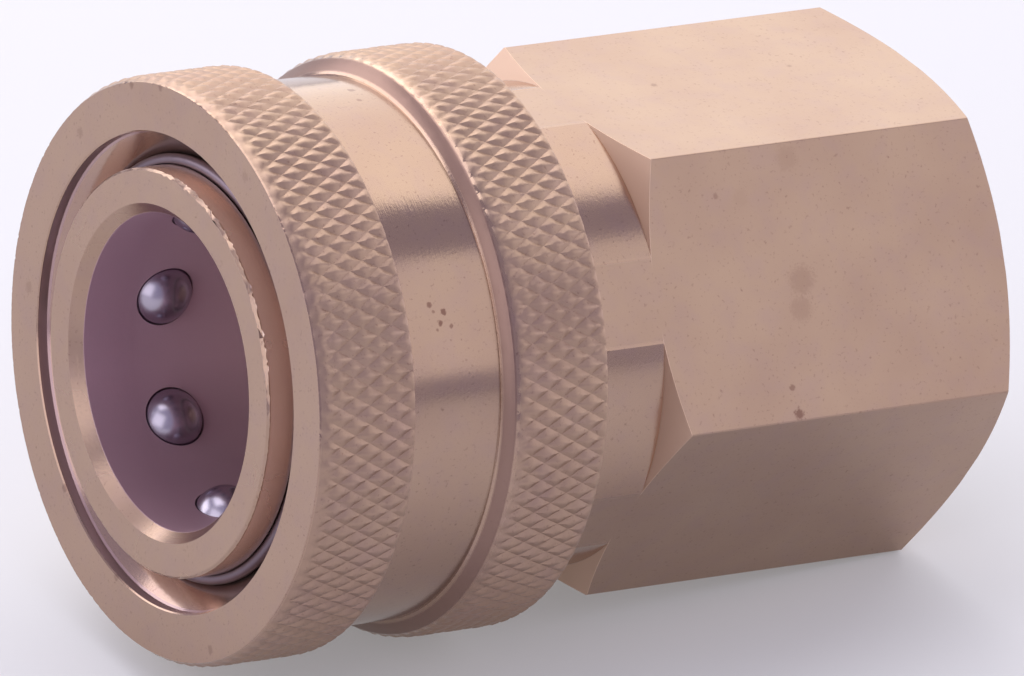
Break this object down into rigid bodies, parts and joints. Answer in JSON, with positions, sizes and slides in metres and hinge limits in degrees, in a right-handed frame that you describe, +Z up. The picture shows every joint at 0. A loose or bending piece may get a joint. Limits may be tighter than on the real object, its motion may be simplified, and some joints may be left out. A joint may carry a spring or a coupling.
{
  "type": "liquid cooling quick coupling",
  "caption": "Female ball-lock quick coupling in brass: knurled pull-back sleeve, open socket with locking balls, shut-off valve inside and a hexagon with a threaded rear port.",
  "frame": {"origin": "middle of the bounding box in X and Y, on the plane the front knurled rim touches", "axes": "+X along the coupling's axis from the open nose to the hexagon, +Z up through the middle of a hexagon flat, +Y to the left seen from the hexagon's end"},
  "size_m": [0.0508, 0.0352, 0.0352],
  "materials": {
    "brass": "turned, satin",
    "ball_steel": "polished steel",
    "spring_steel": "drawn stainless wire",
    "seal_rubber": "smooth moulded rubber",
    "ring_plastic": "cut white plastic"
  },
  "bodies": {
    "valve_body": {"socket_body": "brass", "hex_adapter": "brass", "keeper_ring": "spring_steel", "sleeve_spring": "spring_steel", "plug_seal": "seal_rubber", "backup_ring": "ring_plastic", "valve_spring": "spring_steel", "valve_guide": "brass", "guide_clip": "spring_steel", "body_seal": "seal_rubber"},
    "sleeve_body": {"sleeve": "brass"},
    "poppet_body": {"valve_poppet": "brass", "valve_seal": "seal_rubber"},
    "ball_body_1": {"lock_ball_1": "ball_steel"},
    "ball_body_2": {"lock_ball_2": "ball_steel"},
    "ball_body_3": {"lock_ball_3": "ball_steel"},
    "ball_body_4": {"lock_ball_4": "ball_steel"},
    "ball_body_5": {"lock_ball_5": "ball_steel"},
    "ball_body_6": {"lock_ball_6": "ball_steel"},
    "ball_body_7": {"lock_ball_7": "ball_steel"},
    "ball_body_8": {"lock_ball_8": "ball_steel"}
  },
  "joints": [
    {"name": "sleeve_slide", "type": "slide", "parent": "valve_body", "child": "sleeve_body", "axis": [1, 0, 0], "range_m": [0, 0.0015], "stiffness_N_per_m": 2000, "springref_m": -0.002, "deforming": ["sleeve_spring"]},
    {"name": "valve_lift", "type": "slide", "parent": "valve_body", "child": "poppet_body", "axis": [1, 0, 0], "range_m": [0, 0.0028], "stiffness_N_per_m": 500, "springref_m": -0.003, "deforming": ["valve_spring"]},
    {"name": "ball_slide_1", "type": "slide", "parent": "valve_body", "child": "ball_body_1", "axis": [0, 1, 0], "range_m": [0, 0.00127]},
    {"name": "ball_slide_2", "type": "slide", "parent": "valve_body", "child": "ball_body_2", "axis": [0, 0.7071, 0.7071], "range_m": [0, 0.00127]},
    {"name": "ball_slide_3", "type": "slide", "parent": "valve_body", "child": "ball_body_3", "axis": [0, 0, 1], "range_m": [0, 0.00127]},
    {"name": "ball_slide_4", "type": "slide", "parent": "valve_body", "child": "ball_body_4", "axis": [0, -0.7071, 0.7071], "range_m": [0, 0.00127]},
    {"name": "ball_slide_5", "type": "slide", "parent": "valve_body", "child": "ball_body_5", "axis": [0, -1, 0], "range_m": [0, 0.00127]},
    {"name": "ball_slide_6", "type": "slide", "parent": "valve_body", "child": "ball_body_6", "axis": [0, -0.7071, -0.7071], "range_m": [0, 0.00127]},
    {"name": "ball_slide_7", "type": "slide", "parent": "valve_body", "child": "ball_body_7", "axis": [0, 0, -1], "range_m": [0, 0.00127]},
    {"name": "ball_slide_8", "type": "slide", "parent": "valve_body", "child": "ball_body_8", "axis": [0, 0.7071, -0.7071], "range_m": [0, 0.00127]}
  ],
  "couplings": [
    {"joint": "ball_slide_1", "follows": "sleeve_slide", "ratio": 0.846},
    {"joint": "ball_slide_2", "follows": "sleeve_slide", "ratio": 0.846},
    {"joint": "ball_slide_3", "follows": "sleeve_slide", "ratio": 0.846},
    {"joint": "ball_slide_4", "follows": "sleeve_slide", "ratio": 0.846},
    {"joint": "ball_slide_5", "follows": "sleeve_slide", "ratio": 0.846},
    {"joint": "ball_slide_6", "follows": "sleeve_slide", "ratio": 0.846},
    {"joint": "ball_slide_7", "follows": "sleeve_slide", "ratio": 0.846},
    {"joint": "ball_slide_8", "follows": "sleeve_slide", "ratio": 0.846}
  ]
}
